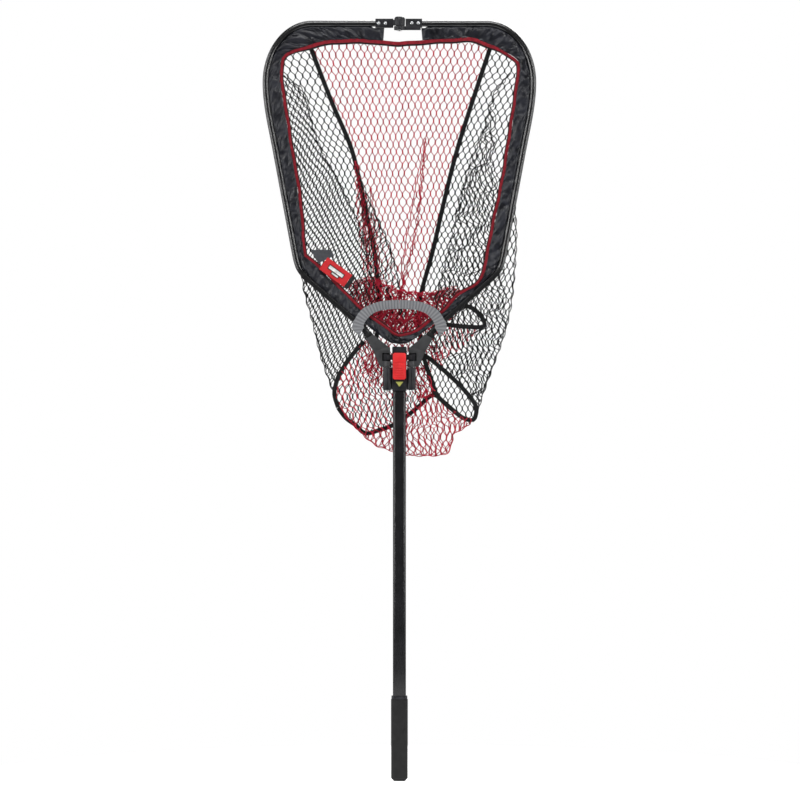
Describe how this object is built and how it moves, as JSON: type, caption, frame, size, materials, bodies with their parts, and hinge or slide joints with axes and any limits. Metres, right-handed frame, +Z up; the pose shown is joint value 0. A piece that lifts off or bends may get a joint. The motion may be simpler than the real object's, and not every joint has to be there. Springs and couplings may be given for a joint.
{
  "type": "folding landing net",
  "caption": "Folding landing net: grip and square tube handle, head block with a sliding release, two-part frame hinged at the tip, deep mesh bag.",
  "frame": {"origin": "centre of the flat butt face of the grip", "axes": "+Z up the handle to the tip of the frame; the frame lies in the XZ plane and the bag hangs on its +Y side"},
  "size_m": [0.604, 0.1625, 1.685],
  "materials": {
    "black_aluminium": "gloss black anodised",
    "grip_rubber": "matt moulded",
    "black_plastic": "satin moulded",
    "grey_plastic": "fine grained",
    "red_plastic": "satin moulded",
    "lime_paint": "printed inlay",
    "steel": "bright",
    "nylon": "shiny woven nylon",
    "red_binding": "woven tape",
    "black_mesh": "knotless netting",
    "red_mesh": "knotless netting",
    "black_tape": "woven tape",
    "grey_webbing": "ribbed elastic webbing",
    "red_woven": "woven tag"
  },
  "bodies": {
    "handle": {"handle_tube": "black_aluminium", "grip_sleeve": "grip_rubber", "butt_plug": "black_plastic", "grip_collar": "black_plastic", "tube_plug": "black_plastic", "head_block": "black_plastic", "head_cover": "black_plastic", "head_cap": "black_plastic", "arrow_inlay": "lime_paint", "left_hinge_pin": "steel", "right_hinge_pin": "steel", "left_hinge_washer": "steel", "right_hinge_washer": "steel", "cover_screw_1": "steel", "cover_screw_2": "steel", "cover_screw_3": "steel", "cover_screw_4": "steel", "tube_rivet": "steel", "release_spring": "steel"},
    "left_frame": {"left_arm": "grey_plastic", "left_arm_rivet": "steel", "left_rail": "black_aluminium", "left_rail_collar": "grip_rubber", "left_tip_bracket": "black_plastic", "left_sleeve": "nylon", "left_binding": "red_binding", "left_net_panel": "black_mesh", "left_net_strip": "red_mesh", "left_seam_tape": "black_tape", "left_strap": "grey_webbing", "left_strap_loop": "grey_webbing", "tip_rivet_1": "steel", "tip_rivet_2": "steel", "tip_pin": "steel", "tip_washer": "steel", "tag": "red_woven"},
    "right_frame": {"right_arm": "grey_plastic", "right_arm_rivet": "steel", "right_rail": "black_aluminium", "right_rail_collar": "grip_rubber", "right_tip_bracket": "black_plastic", "right_sleeve": "nylon", "right_binding": "red_binding", "right_net_panel": "black_mesh", "right_net_strip": "red_mesh", "right_seam_tape": "black_tape", "right_strap": "grey_webbing", "right_strap_loop": "grey_webbing", "tip_rivet_3": "steel", "tip_rivet_4": "steel"},
    "button": {"release_button": "red_plastic", "slide_carriage": "black_plastic"},
    "left_bolt": {"left_lock_bolt": "black_plastic"},
    "right_bolt": {"right_lock_bolt": "black_plastic"}
  },
  "joints": [
    {"name": "left_fold", "type": "hinge", "parent": "handle", "child": "left_frame", "pos_m": [-0.0265, -0.0125, 0.886], "axis": [0.0343, 0, 0.9994], "range_deg": [0, 90]},
    {"name": "right_fold", "type": "hinge", "parent": "handle", "child": "right_frame", "pos_m": [0.0265, -0.0125, 0.886], "axis": [0.0343, 0, -0.9994], "range_deg": [0, 90]},
    {"name": "button_slide", "type": "slide", "parent": "handle", "child": "button", "axis": [0, 0, -1], "range_m": [0, 0.01], "stiffness_N_per_m": 400, "springref_m": -0.006, "deforming": ["release_spring"]},
    {"name": "left_bolt_slide", "type": "slide", "parent": "handle", "child": "left_bolt", "axis": [1, 0, 0], "range_m": [0, 0.006]},
    {"name": "right_bolt_slide", "type": "slide", "parent": "handle", "child": "right_bolt", "axis": [-1, 0, 0], "range_m": [0, 0.006]}
  ],
  "couplings": [
    {"joint": "left_bolt_slide", "follows": "button_slide", "ratio": 0.6},
    {"joint": "right_bolt_slide", "follows": "button_slide", "ratio": 0.6}
  ]
}
